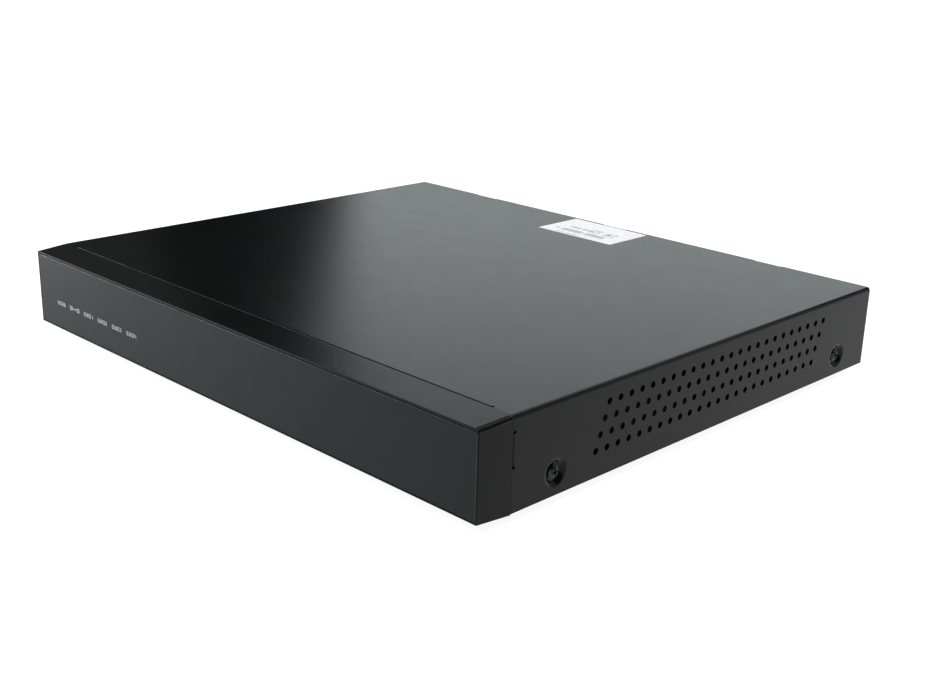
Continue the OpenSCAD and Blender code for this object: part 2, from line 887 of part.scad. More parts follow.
module board_headers() {
    color([0.2, 0.2, 0.22]) {
        for (x = data_header_x) translate([x, data_header_y, board_top + touch]) header(16, 8, 8);
        for (p = small_header_places()) translate([p.x, p.y, board_top + touch]) header(10, 8, 7);
        translate([supply_header().x, supply_header().y, board_top + touch]) header(22, 10, 9);
    }
}

// Headers of the panel lead, the rear fan and the side fan
function small_header_places() = [[4, data_header_y], [-38, seam_y + 312], [178, seam_y + 222]];
function supply_header() = [-40, seam_y + 270];

module coin_cell() {
    color(bright_metal) translate([150, cpu_xy.y, board_top + touch]) {
        cylinder(h = 1.6, r = 12);
        translate([0, 0, 1.5]) cylinder(h = 3.2, r = 10);
    }
}

// ---------- power supply ----------

module power_board() {
    color([0.45, 0.35, 0.2]) board(power_x, power_y, power_holes_x, power_holes_y);
}

module power_transformer() {
    color([0.75, 0.6, 0.2]) translate([-165, seam_y + 248, board_top + touch]) {
        translate([-20, -17, 0]) cube([40, 34, 5]);
        translate([-17, -14, 4]) cube([34, 28, 22]);
        translate([-20, -17, 25]) cube([40, 34, 5]);
    }
}

module power_capacitors() {
    color([0.1, 0.1, 0.25]) {
        for (x = [-190, -164]) translate([x, seam_y + 209, board_top + touch]) cylinder(h = 32, r = 11);
        for (y = [232, 246, 260]) translate([-124, seam_y + y, board_top + touch]) cylinder(h = 16, r = 5);
    }
}

module power_heat_sinks() {
    color(bright_metal) for (x = [-205, -140]) {
        translate([x, seam_y + 228, board_top + touch]) cube([3, 56, 28]);
    }
}

// C14 outline: a rectangle with its two lower corners cut
module inlet_outline(w, h, cut) {
    polygon([
        [-w / 2, h / 2], [w / 2, h / 2], [w / 2, -h / 2 + cut], [w / 2 - cut, -h / 2],
        [-w / 2 + cut, -h / 2], [-w / 2, -h / 2 + cut],
    ]);
}

module mains_inlet() {
    color(plastic_black) translate([inlet_x, panel_y, inlet_z]) difference() {
        union() {
            along_y(touch, 3) rounded(50, 22.5, 5);
            along_y(-20, 1) inlet_outline(27.4, 19.8, 4);
        }
        along_y(-17, 4) inlet_outline(24.4, 16.8, 4);
        for (side = [-1, 1]) translate([side * 20, 0, 0]) along_y(-1, 4) circle(m3[2] + touch);
        inlet_pin_outlines(-21, -16, touch);
    }
}

// Two line blades and one higher earth blade
module inlet_pin_outlines(y0, y1, grow) {
    for (p = [[-7, -1.5], [7, -1.5], [0, 2.5]]) along_y(y0, y1) translate(p) {
        square([2 + 2 * grow, 4 + 2 * grow], center = true);
    }
}

module inlet_pins() {
    color(bright_metal) translate([inlet_x, panel_y, inlet_z]) inlet_pin_outlines(-26, -2, 0);
}

module power_switch() {
    color(plastic_black) translate([switch_x, panel_y, inlet_z]) difference() {
        union() {
            along_y(touch, 1.8) rounded(22, 15.6, 1.5);
            along_y(-switch_depth, 1) square([19, 13], center = true);
        }
        along_y(-11, 3) square(switch_pocket, center = true);
        translate([0, -hinge_in, -7]) cylinder(h = 14, r = hinge_r + running_fit);
    }
    color("tan") translate([switch_x, panel_y - switch_depth, inlet_z]) for (x = [-6, 0, 6]) {
        translate([x - 0.4, -6, -2.4]) cube([0.8, 6.5, 4.8]);
    }
}

module power_rocker() {
    h = switch_pocket[1] - 0.7;
    color([0.1, 0.1, 0.1]) translate([switch_x, panel_y - hinge_in, inlet_z]) rotate([0, 0, -rocker_lean]) {
        translate([0, 0, -h / 2]) linear_extrude(h) polygon([
            [-5, -5], [5, -5], [7.6, 0], [7.6, 5.4], [0, 3.6], [-7.6, 5.4], [-7.6, 0],
        ]);
        translate([0, 0, -6.2]) cylinder(h = 12.4, r = hinge_r);
    }
}

// ---------- fans ----------

// Fan drawn round the y axis, blowing towards +y, its outlet face at y = 0
module fan_frame() {
    difference() {
        along_y(-fan_t, 0) difference() {
            rounded(fan_w, fan_w, 3);
            circle(fan_w / 2 - 0.9);
            for (sx = [-1, 1], sz = [-1, 1]) translate([sx, sz] * fan_hole) circle(fan_screw[2] + touch);
        }
        for (side = [0:3]) rotate([0, side * 90, 0]) {
            box([fan_w / 2 - 3, -fan_t + 3.5, -9], [fan_w / 2 + 1, -3.5, 9]);
        }
    }
    along_y(-fan_t, 0) difference() {
        circle(fan_w / 2 - 0.4);
        circle(fan_w / 2 - 0.95);
    }
    along_y(-motor_plate, 0) {
        circle(hub_r + 0.5);
        for (turn = [0:90:270]) rotate([0, 0, turn]) translate([0, -0.9]) square([fan_w / 2 - 0.5, 1.8]);
    }
    along_y(-fan_t + 3.6, -motor_plate + touch) circle(fan_post_r);
}

module fan_rotor() {
    low = -fan_t + 1.8;
    high = -motor_plate - 0.5;
    difference() {
        union() {
            along_y(low, high) circle(hub_r);
            intersection() {
                along_y(low + 0.5, high - 0.3) difference() {
                    circle(blade_reach);
                    circle(hub_r - 0.5);
                }
                union() {
                    for (i = [0:fan_blades - 1]) rotate([0, i * 360 / fan_blades, 0]) {
                        translate([0, (low + high) / 2, 0]) rotate([blade_tilt, 0, 0]) {
                            translate([hub_r - 1, -15, -0.6]) cube([blade_reach, 30, 1.2]);
                        }
                    }
                }
            }
        }
        along_y(low + 1.2, high + 1) circle(fan_post_r + running_fit);
    }
}

module at_rear_fan() {
    translate([rear_fan_x, panel_y - sheet - touch, fan_z]) children();
}

module at_side_fan() {
    translate([flange_x - sheet - touch, side_fan_y, fan_z]) rotate([0, 0, -90]) children();
}

module rear_fan_frame() { color(plastic_black) at_rear_fan() fan_frame(); }
module rear_fan_rotor() { color([0.1, 0.1, 0.1]) at_rear_fan() fan_rotor(); }
module side_fan_frame() { color(plastic_black) at_side_fan() fan_frame(); }
module side_fan_rotor() { color([0.1, 0.1, 0.1]) at_side_fan() fan_rotor(); }

// ---------- rear connectors ----------

function jack_places() = [for (i = [0:jack_cols - 1], z = jack_z) [jack_x0 - i * jack_pitch, z]];

// Threaded coaxial shell with two bayonet lugs and a nut against the panel
module video_jacks() {
    bore_r = 4.05;
    reach = rear_y + jack_reach - panel_y;
    color(bright_metal) for (p = jack_places()) translate([p.x, panel_y, p.y]) difference() {
        union() {
            along_y(-6, reach) circle(4.85);
            along_y(touch, 2.2) rotate([0, 0, 30]) circle(7.2, $fn = 6);
            translate([-5.6, reach - 3.2, 0]) rotate([0, 90, 0]) cylinder(h = 11.2, r = 0.95);
        }
        along_y(-7, reach + 1) circle(bore_r);
    }
}

// Moulded block behind each column of jacks, with the white insulators that reach into the shells
module video_jack_blocks() {
    back = panel_y - sheet - 20;
    color([0.85, 0.85, 0.83]) for (i = [0:jack_cols - 1]) {
        translate([jack_x0 - i * jack_pitch, 0, 0]) difference() {
            union() {
                box([-6.6, back, board_top + touch], [6.6, panel_y - sheet - 0.2, jack_z[1] + 8]);
                for (z = jack_z) along_y(panel_y - 7, rear_y + jack_reach - 5) translate([0, z]) circle(2.4);
            }
            for (z = jack_z) {
                along_y(panel_y - 7, panel_y) translate([0, z]) difference() {
                    circle(4.95);
                    circle(2.4);
                }
                along_y(rear_y + jack_reach - 11, rear_y + jack_reach) translate([0, z]) circle(0.7);
            }
        }
    }
}

module audio_jacks() {
    color([0.2, 0.2, 0.2]) translate([audio_x, panel_y, board_top]) difference() {
        union() {
            box([-5.2, -14, touch], [5.2, -sheet - 0.2, 27]);
            for (z = [6.5, 20.5]) along_y(-2, 9) translate([0, z]) circle(4.15);
        }
        for (z = [6.5, 20.5]) along_y(-2, 10) translate([0, z]) circle(1.7);
    }
}

module vga_socket() {
    color([0.1, 0.2, 0.5]) translate([vga_x, panel_y, board_top + 6.4]) {
        difference() {
            union() {
                along_y(-sheet - 1, -sheet - touch) rounded(30.8, 12.5, 1);
                along_y(-14, -sheet - 0.8) square([16, 10.4], center = true);
                along_y(-3, 4.8) d_outline(16.6, 8.2);
            }
            for (row = [-1:1], col = [-2:2]) along_y(0, 5) {
                translate([col * 2.29 + (row == 0 ? 0.6 : 0), row * 1.98]) circle(0.5, $fn = 16);
            }
            for (side = [-1, 1]) along_y(-3, 0) translate([side * 12.5, 0]) circle(1.5);
        }
        for (side = [-1, 1]) translate([side * 12.5, 0, 0]) difference() {
            union() {
                along_y(touch, 5) circle(2.8, $fn = 6);
                along_y(-5, 1) circle(1.45);
            }
            along_y(1.5, 6) circle(1.3);
        }
    }
}

// Small metal socket: a thin shell, a closed back and a tongue
module shell_socket(size, depth, reach, tongue, shift) {
    wall = 0.5;
    difference() {
        along_y(-depth, reach) square(size, center = true);
        along_y(-depth + 3, reach + 1) square(size - 2 * [wall, wall], center = true);
    }
    along_y(-depth + 2, reach - 1.5) translate([0, shift]) square(tongue, center = true);
}

module hdmi_socket() {
    color(bright_metal) translate([hdmi_x, panel_y, board_top + 3.3]) {
        shell_socket([15, 5.6], 12, 0.8, [11, 1.4], 0.3);
    }
}

module esata_socket() {
    color(bright_metal) translate([esata_x, panel_y, board_top + 3.8]) {
        shell_socket([14, 6.6], 14, 0.8, [9, 1.3], 0.5);
    }
}

module usb_socket() {
    color(bright_metal) translate([usb_x, panel_y, board_top + 8]) {
        difference() {
            along_y(-17, 0.8) square([14.4, 15.7], center = true);
            for (z = [-3.9, 3.9]) along_y(-9, 2) translate([0, z]) square([12.6, 5.3], center = true);
        }
        for (z = [-2.9, 4.9]) along_y(-10, -0.6) translate([0, z]) square([11, 1.8], center = true);
    }
}

module network_socket() {
    color(bright_metal) translate([network_x, panel_y, board_top + 6.9]) difference() {
        along_y(-20, 0.6) square([15.9, 13.6], center = true);
        along_y(-14, 2) {
            translate([0, 0.6]) square([11.8, 7.4], center = true);
            translate([0, -4]) square([6, 3], center = true);
        }
    }
}

module terminal_block() {
    color([0.1, 0.45, 0.2]) translate([terminal_x, panel_y, board_top + 5.6]) difference() {
        along_y(-12, 6) square([terminal_w, 11], center = true);
        for (i = [0:terminal_ways - 1]) {
            x = (i - (terminal_ways - 1) / 2) * terminal_pitch;
            along_y(-2, 7) translate([x, -1.8]) square([2.6, 3.2], center = true);
            along_y(3.8, 7) translate([x, 3]) circle(1.4, $fn = 24);
        }
    }
}

// ---------- internal leads ----------

// Each data lead climbs behind its drive, crosses at its own height and drops into its header
module data_leads() {
    color([0.75, 0.1, 0.1]) for (i = [0:3]) {
        x = drive_x(i) + 8;
        lane = drive_rear_y + 19 + 5 * i;
        height = drive_z + 18 + 5 * i;
        hx = data_header_x[i];
        box([x - 7, drive_rear_y + touch, drive_z + 3], [x + 7, drive_rear_y + 11, drive_z + 10]);
        box([hx - 6.5, data_header_y - 2.6, board_top + 3], [hx + 6.5, data_header_y + 2.6, board_top + 12]);
        route([
            [x, drive_rear_y + 10, drive_z + 6.5], [x, lane, drive_z + 6.5], [x, lane, height],
            [hx, lane, height], [hx, data_header_y, height], [hx, data_header_y, board_top + 11],
        ], 1.9, 2.6);
    }
}

// One harness: a trunk above the plugs, led down to a plug on each drive
module drive_power_lead() {
    trunk_y = drive_rear_y + 6;
    trunk_z = drive_z + 16;
    end = [-185, power_y[0] + 5.5];
    color([0.85, 0.7, 0.1]) {
        for (i = [0:3]) {
            x = drive_x(i) - 16;
            box([x - 11, drive_rear_y + touch, drive_z + 3], [x + 11, drive_rear_y + 11, drive_z + 18.5]);
        }
        route([
            [drive_x(3) - 16, trunk_y, trunk_z], [end.x, trunk_y, trunk_z],
            [end.x, end.y, trunk_z], [end.x, end.y, board_top + 4],
        ], 2.2, 5);
        translate([end.x, end.y, board_top + touch]) linear_extrude(5) square([9, 9], center = true);
    }
}

module panel_lead() {
    high = base_z + 43;
    p = small_header_places()[0];
    color([0.6, 0.6, 0.62]) {
        box([-101, lamp_board_y + board_t, high - 9], [-91, lamp_board_y + board_t + 6, high - 4]);
        box([p.x - 3.6, p.y - 2.6, board_top + 3], [p.x + 3.6, p.y + 2.6, board_top + 11]);
        route([
            [-96, lamp_board_y + board_t + 5, high - 6.5], [-96, seam_y + 50, high - 6.5],
            [-96, seam_y + 50, high + 4], [-96, p.y, high + 4],
            [p.x, p.y, high + 4], [p.x, p.y, board_top + 10],
        ], 1.5, 3);
    }
}

module fan_leads() {
    rear = small_header_places()[1];
    side = small_header_places()[2];
    fan_back = panel_y - sheet - fan_t;
    fan_in = flange_x - sheet - fan_t;
    color([0.1, 0.1, 0.1]) {
        route([
            [rear_fan_x + 17, fan_back - touch, base_z + 16], [rear_fan_x + 17, rear.y, base_z + 16],
            [rear_fan_x + 17, rear.y, base_z + 26], [rear.x, rear.y, base_z + 26],
            [rear.x, rear.y, board_top + 10],
        ], 1.2, 2);
        route([
            [fan_in - touch, side_fan_y + 17, base_z + 16], [side.x, side_fan_y + 17, base_z + 16],
            [side.x, side_fan_y + 17, base_z + 26], [side.x, side.y, base_z + 26],
            [side.x, side.y, board_top + 10],
        ], 1.2, 2);
        for (p = [rear, side]) {
            box([p.x - 3.6, p.y - 2.6, board_top + 3], [p.x + 3.6, p.y + 2.6, board_top + 11]);
        }
    }
}

// Line lead through the switch, neutral lead straight to the board, and the output lead
module supply_leads() {
    pin_y = panel_y - 26;
    end_z = board_top + touch;
    out = supply_header();
    color([0.35, 0.2, 0.1]) {
        route([
            [inlet_x + 7, pin_y - touch, inlet_z], [inlet_x + 7, pin_y - 8, inlet_z],
            [switch_x - 6, pin_y - 8, inlet_z], [switch_x - 6, panel_y - switch_depth - 6 - touch, inlet_z],
        ], 1.4, 3);
        route([
            [switch_x, panel_y - switch_depth - 6 - touch, inlet_z], [switch_x, pin_y - 20, inlet_z],
            [switch_x, pin_y - 20, end_z],
        ], 1.4, 3);
        route([
            [inlet_x - 7, pin_y - touch, inlet_z], [inlet_x - 7, pin_y - 16, inlet_z],
            [inlet_x - 7, pin_y - 16, end_z],
        ], 1.4, 3);
        route([
            [-118, out.y, end_z], [-118, out.y, base_z + 30], [out.x, out.y, base_z + 30],
            [out.x, out.y, board_top + 11],
        ], 2.6, 4);
        box([out.x - 9.5, out.y - 3.6, board_top + 3], [out.x + 9.5, out.y + 3.6, board_top + 12]);
    }
}

top_cover();
base_chassis();
rear_panel();
front_bezel();
front_panel();
top_label();
rubber_feet();
cover_side_screws();
cover_rear_screws();
chassis_screws();
drive_screws();
foot_screws();
fan_screws();
inlet_screws();
indicator_board();
indicator_lamps();
light_pipes();
drive_rails();
drive_1();
drive_2();
drive_3();
drive_4();
drive_1_platters();
drive_2_platters();
drive_3_platters();
drive_4_platters();
drive_boards();
main_board();
board_standoffs();
processor();
heat_sink();
memory_chips();
board_headers();
coin_cell();
power_board();
power_transformer();
power_capacitors();
power_heat_sinks();
mains_inlet();
inlet_pins();
power_switch();
power_rocker();
rear_fan_frame();
rear_fan_rotor();
side_fan_frame();
side_fan_rotor();
video_jacks();
video_jack_blocks();
audio_jacks();
vga_socket();
hdmi_socket();
esata_socket();
usb_socket();
network_socket();
terminal_block();
data_leads();
drive_power_lead();
panel_lead();
fan_leads();
supply_leads();
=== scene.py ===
"""Looks for a rack-width video recorder: materials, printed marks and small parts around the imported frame."""

import math

import bmesh
import bpy
from mathutils import Matrix, Vector


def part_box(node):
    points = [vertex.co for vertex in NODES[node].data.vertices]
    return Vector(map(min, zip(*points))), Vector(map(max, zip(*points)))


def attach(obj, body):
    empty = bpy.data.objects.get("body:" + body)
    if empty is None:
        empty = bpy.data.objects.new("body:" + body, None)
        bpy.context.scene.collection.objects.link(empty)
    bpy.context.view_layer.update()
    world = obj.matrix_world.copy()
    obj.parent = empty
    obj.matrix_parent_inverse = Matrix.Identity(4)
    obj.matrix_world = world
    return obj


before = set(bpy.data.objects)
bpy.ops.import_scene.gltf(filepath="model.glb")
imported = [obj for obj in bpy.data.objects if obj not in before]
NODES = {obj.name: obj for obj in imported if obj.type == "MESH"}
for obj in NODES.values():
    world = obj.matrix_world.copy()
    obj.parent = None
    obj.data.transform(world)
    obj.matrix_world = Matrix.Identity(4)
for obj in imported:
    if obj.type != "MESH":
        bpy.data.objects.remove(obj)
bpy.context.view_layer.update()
MM = 0.001
X, Y, Z = Vector((1, 0, 0)), Vector((0, 1, 0)), Vector((0, 0, 1))

COVER_LOW, COVER_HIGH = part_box("top_cover")
PANEL_LOW, PANEL_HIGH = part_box("front_panel")
LABEL_LOW, LABEL_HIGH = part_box("top_label")
REAR_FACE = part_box("rear_panel")[1].y


# ---------- materials ----------

class Shader:
    """A Principled material with short ways to add nodes."""

    def __init__(self, name, color, roughness, metallic=0.0, specular=0.5):
        self.material = bpy.data.materials.new(name)
        self.material.use_nodes = True
        self.tree = self.material.node_tree
        self.bsdf = self.tree.nodes["Principled BSDF"]
        self.color = (*color, 1.0)
        self.set("Base Color", self.color)
        self.set("Roughness", roughness)
        self.set("Metallic", metallic)
        self.set("Specular IOR Level", specular)
        self.coords = self.add("ShaderNodeTexCoord").outputs["Object"]
        self.normal = None

    def add(self, kind, **values):
        node = self.tree.nodes.new(kind)
        for key, value in values.items():
            if hasattr(node, key):
                setattr(node, key, value)
            else:
                node.inputs[key.replace("_", " ")].default_value = value
        return node

    def set(self, socket, value):
        self.bsdf.inputs[socket].default_value = value

    def link(self, a, b):
        self.tree.links.new(a, b)

    def noise(self, scale, detail=2.0, rough=0.5, stretch=None):
        source = self.coords
        if stretch:
            mapping = self.add("ShaderNodeMapping")
            mapping.inputs["Scale"].default_value = stretch
            self.link(source, mapping.inputs["Vector"])
            source = mapping.outputs["Vector"]
        node = self.add("ShaderNodeTexNoise", Scale=scale, Detail=detail, Roughness=rough)
        self.link(source, node.inputs["Vector"])
        return node.outputs["Fac"]

    def ramp(self, fac, stops):
        node = self.add("ShaderNodeValToRGB")
        ramp = node.color_ramp
        while len(ramp.elements) < len(stops):
            ramp.elements.new(0.5)
        for element, (place, color) in zip(ramp.elements, stops):
            element.position = place
            element.color = color if len(color) == 4 else (*color, 1.0)
        self.link(fac, node.inputs["Fac"])
        return node.outputs["Color"]

    def spread(self, fac, low, high):
        node = self.add("ShaderNodeMapRange")
        node.inputs["To Min"].default_value = low
        node.inputs["To Max"].default_value = high
        self.link(fac, node.inputs["Value"])
        return node.outputs["Result"]

    def bump(self, height, strength, distance):
        node = self.add("ShaderNodeBump", Strength=strength, Distance=distance)
        self.link(height, node.inputs["Height"])
        if self.normal:
            self.link(self.normal, node.inputs["Normal"])
        self.normal = node.outputs["Normal"]
        self.link(self.normal, self.bsdf.inputs["Normal"])
        return self

    def tint(self, fac, amount):
        """Varies the base colour a little, from darker to lighter."""
        low = [c * (1 - amount) for c in self.color[:3]]
        high = [c * (1 + amount) for c in self.color[:3]]
        self.link(self.ramp(fac, [(0.3, low), (0.7, high)]), self.bsdf.inputs["Base Color"])
        return self

    def rough(self, fac, low, high):
        self.link(self.spread(fac, low, high), self.bsdf.inputs["Roughness"])
        return self


def powder_coat(name, color, roughness, specular):
    """Satin powder coat: fine orange peel over a finer grain."""
    s = Shader(name, color, roughness, specular=specular)
    s.tint(s.noise(900, 3), 0.12)
    s.rough(s.noise(60, 3), roughness - 0.03, roughness + 0.03)
    s.bump(s.noise(420, 2), 0.16, 0.0002)
    s.bump(s.noise(1500, 2), 0.5, 0.0001)
    return s.material


def moulded(name, color, roughness, specular=0.4, grain=1300, depth=0.15):
    s = Shader(name, color, roughness, specular=specular)
    s.tint(s.noise(700, 3), 0.08)
    s.rough(s.noise(90, 2), roughness - 0.04, roughness + 0.04)
    s.bump(s.noise(grain, 2), depth, 0.0001)
    return s.material


def metal(name, color, roughness, stretch=None, grain=900, depth=0.08):
    s = Shader(name, color, roughness, metallic=1.0)
    s.tint(s.noise(140, 3), 0.06)
    s.rough(s.noise(grain, 3, stretch=stretch), roughness - 0.06, roughness + 0.08)
    s.bump(s.noise(grain, 2, stretch=stretch), depth, 0.00005)
    return s.material


def circuit_board(name):
    """Solder mask with darker bare laminate between straight copper tracks."""
    s = Shader(name, (0.02, 0.16, 0.07), 0.32, specular=0.5)
    brick = s.add("ShaderNodeTexBrick", Scale=160.0)
    brick.inputs["Color1"].default_value = (0.015, 0.13, 0.055, 1)
    brick.inputs["Color2"].default_value = (0.03, 0.21, 0.09, 1)
    brick.inputs["Mortar"].default_value = (0.008, 0.07, 0.03, 1)
    brick.inputs["Mortar Size"].default_value = 0.03
    s.link(s.coords, brick.inputs["Vector"])
    s.link(brick.outputs["Color"], s.bsdf.inputs["Base Color"])
    s.bump(brick.outputs["Fac"], 0.3, 0.00005)
    return s.material


def two_tone(name, first, second, axis, place, roughness):
    """Plastic whose colour changes at one plane, such as a white insulator in a black block."""
    s = Shader(name, first, roughness, specular=0.4)
    split = s.add("ShaderNodeSeparateXYZ")
    s.link(s.coords, split.inputs[0])
    step = s.add("ShaderNodeMath", operation="GREATER_THAN")
    s.link(split.outputs[axis], step.inputs[0])
    step.inputs[1].default_value = place
    s.link(s.ramp(step.outputs[0], [(0.4, first), (0.6, second)]), s.bsdf.inputs["Base Color"])
    s.bump(s.noise(1200, 2), 0.1, 0.0001)
    return s.material


def winding(name):
    """Varnished tape over a coil."""
    s = Shader(name, (0.42, 0.3, 0.06), 0.35, specular=0.5)
    wave = s.add("ShaderNodeTexWave", Scale=130.0, Distortion=0.4, bands_direction="Z")
    s.link(s.coords, wave.inputs["Vector"])
    s.link(s.ramp(wave.outputs["Fac"], [(0.3, (0.2, 0.13, 0.03)), (0.7, (0.5, 0.36, 0.09))]),
           s.bsdf.inputs["Base Color"])
    s.bump(wave.outputs["Fac"], 0.3, 0.0002)
    return s.material


BLACK_STEEL = (0.0030, 0.0031, 0.0032)
STEEL_ROUGH = 0.23
STEEL_SHINE = 0.14
LOOKS = {
    "cover": powder_coat("powder_coat_cover", BLACK_STEEL, STEEL_ROUGH, STEEL_SHINE),
    "bezel": powder_coat("powder_coat_bezel", BLACK_STEEL, STEEL_ROUGH, STEEL_SHINE),
    "panel": moulded("front_panel_plastic", (0.0082, 0.0086, 0.0092), 0.46, 0.14, grain=1100, depth=0.25),
    "label": moulded("label_film", (0.75, 0.735, 0.76), 0.35, 0.3, grain=500, depth=0.03),
    "rubber": moulded("rubber", (0.018, 0.018, 0.018), 0.75, 0.3, grain=800, depth=0.3),
    "black_screw": metal("black_oxide", (0.035, 0.036, 0.038), 0.32, grain=1500),
    "bright": metal("zinc_plate", (0.62, 0.62, 0.6), 0.3),
    "zinc": metal("galvanised_sheet", (0.55, 0.56, 0.57), 0.38, grain=300, depth=0.15),
    "cast": moulded("coated_casting", (0.012, 0.012, 0.013), 0.5, 0.4, grain=700, depth=0.3),
    "platter": metal("polished_disc", (0.85, 0.85, 0.87), 0.06, grain=200, depth=0.01),
    "brass": metal("brass", (0.76, 0.6, 0.3), 0.28),
    "gold": metal("gold_contact", (0.9, 0.68, 0.3), 0.22),
    "nickel": metal("nickel_plate", (0.68, 0.66, 0.62), 0.2),
    "aluminium": metal("extruded_aluminium", (0.72, 0.73, 0.75), 0.34, stretch=(1, 12, 1)),
    "board": circuit_board("solder_mask"),
    "black_plastic": moulded("black_plastic", (0.02, 0.02, 0.022), 0.45),
    "gloss_plastic": moulded("gloss_plastic", (0.012, 0.012, 0.013), 0.2, 0.5, depth=0.05),
    "lamp": moulded("smoked_lens", (0.014, 0.015, 0.016), 0.4, 0.2, depth=0.03),
    "blue_plastic": moulded("blue_plastic", (0.03, 0.08, 0.36), 0.42),
    "green_plastic": moulded("green_plastic", (0.03, 0.26, 0.09), 0.42),
    "white_plastic": moulded("white_plastic", (0.75, 0.75, 0.72), 0.4),
    "red_plastic": moulded("red_plastic", (0.5, 0.03, 0.03), 0.38),
    "red_lead": moulded("red_jacket", (0.45, 0.03, 0.03), 0.5),
    "grey_lead": moulded("grey_jacket", (0.3, 0.3, 0.31), 0.55),
    "yellow_lead": moulded("yellow_jacket", (0.7, 0.5, 0.05), 0.5),
    "black_lead": moulded("black_jacket", (0.025, 0.025, 0.025), 0.5),
    "winding": winding("taped_winding"),
    "capacitor": moulded("capacitor_sleeve", (0.015, 0.02, 0.09), 0.3, 0.5, depth=0.05),
    "print": moulded("white_print", (0.5, 0.53, 0.54), 0.5, 0.3, depth=0.05),
    # Painted highlight: a paler strip along the panel's chamfer, standing in for the light the chamfer catches
    "edge": moulded("panel_edge_painted_highlight", (0.108, 0.112, 0.117), 0.5, 0.14, depth=0.05),
    # Painted highlight: a paler strip along the bezel's rear edge at the top seam
    "seam": moulded("seam_highlight_paint", (0.038, 0.04, 0.042), 0.4, 0.2, depth=0.05),
    # Painted shade: a near-black, nearly non-reflective strip standing in for the shade in the groove above the
    # panel
    "shade_strip": moulded("groove_shade_paint", (0.002, 0.002, 0.002), 0.95, 0.02, depth=0.1),
    "badge": moulded("fan_badge_film", (0.25, 0.26, 0.27), 0.4, 0.4, depth=0.03),
    "ink": moulded("label_ink", (0.2, 0.21, 0.22), 0.5, 0.3, depth=0.03),
}
WHITE_INSERT = REAR_FACE - 1.5 * MM
LOOKS["jack_block"] = two_tone("jack_block_plastic", (0.02, 0.02, 0.022), (0.8, 0.8, 0.77), "Y",
                               WHITE_INSERT, 0.4)

NODE_LOOKS = {
    "cover": ["top_cover", "base_chassis", "rear_panel"],
    "bezel": ["front_bezel"],
    "panel": ["front_panel"],
    "label": ["top_label"],
    "rubber": ["rubber_feet"],
    "black_screw": ["cover_side_screws", "cover_rear_screws", "fan_screws", "inlet_screws"],
    "bright": ["chassis_screws", "drive_screws", "foot_screws", "coin_cell", "inlet_pins"],
    "board": ["indicator_board", "drive_boards", "main_board", "power_board"],
    "lamp": ["indicator_lamps", "light_pipes"],
    "zinc": ["drive_rails"],
    "cast": [f"drive_{i}" for i in range(1, 5)],
    "platter": [f"drive_{i}_platters" for i in range(1, 5)],
    "brass": ["board_standoffs"],
    "aluminium": ["heat_sink", "power_heat_sinks"],
    "gloss_plastic": ["processor", "memory_chips", "power_rocker"],
    "black_plastic": ["board_headers", "mains_inlet", "power_switch", "rear_fan_frame", "side_fan_frame",
                      "rear_fan_rotor", "side_fan_rotor", "audio_jacks"],
    "winding": ["power_transformer"],
    "capacitor": ["power_capacitors"],
    "nickel": ["video_jacks", "hdmi_socket", "esata_socket", "usb_socket", "network_socket"],
    "jack_block": ["video_jack_blocks"],
    "blue_plastic": ["vga_socket"],
    "green_plastic": ["terminal_block"],
    "red_lead": ["data_leads"],
    "yellow_lead": ["drive_power_lead"],
    "grey_lead": ["panel_lead"],
    "black_lead": ["fan_leads", "supply_leads"],
}
for look, names in NODE_LOOKS.items():
    for name in names:
        mesh = NODES[name].data
        mesh.materials.clear()
        mesh.materials.append(LOOKS[look])


def soften(name, width, segments=2, angle=32):
    """Rounds a CAD node's hard edges by a fraction of a millimetre, so that they catch the light."""
    o = NODES[name]
    weld = o.modifiers.new("weld", "WELD")
    weld.merge_threshold = 1e-6
    bevel = o.modifiers.new("soft_edges", "BEVEL")
    bevel.width = width
    bevel.segments = segments
    bevel.limit_method = "ANGLE"
    bevel.angle_limit = math.radians(angle)
    bevel.harden_normals = True


SOFT_EDGES = {
    "front_bezel": 0.25 * MM,
    "front_panel": 0.15 * MM,
}
for name, width in SOFT_EDGES.items():
    soften(name, width)


# ---------- printed marks ----------

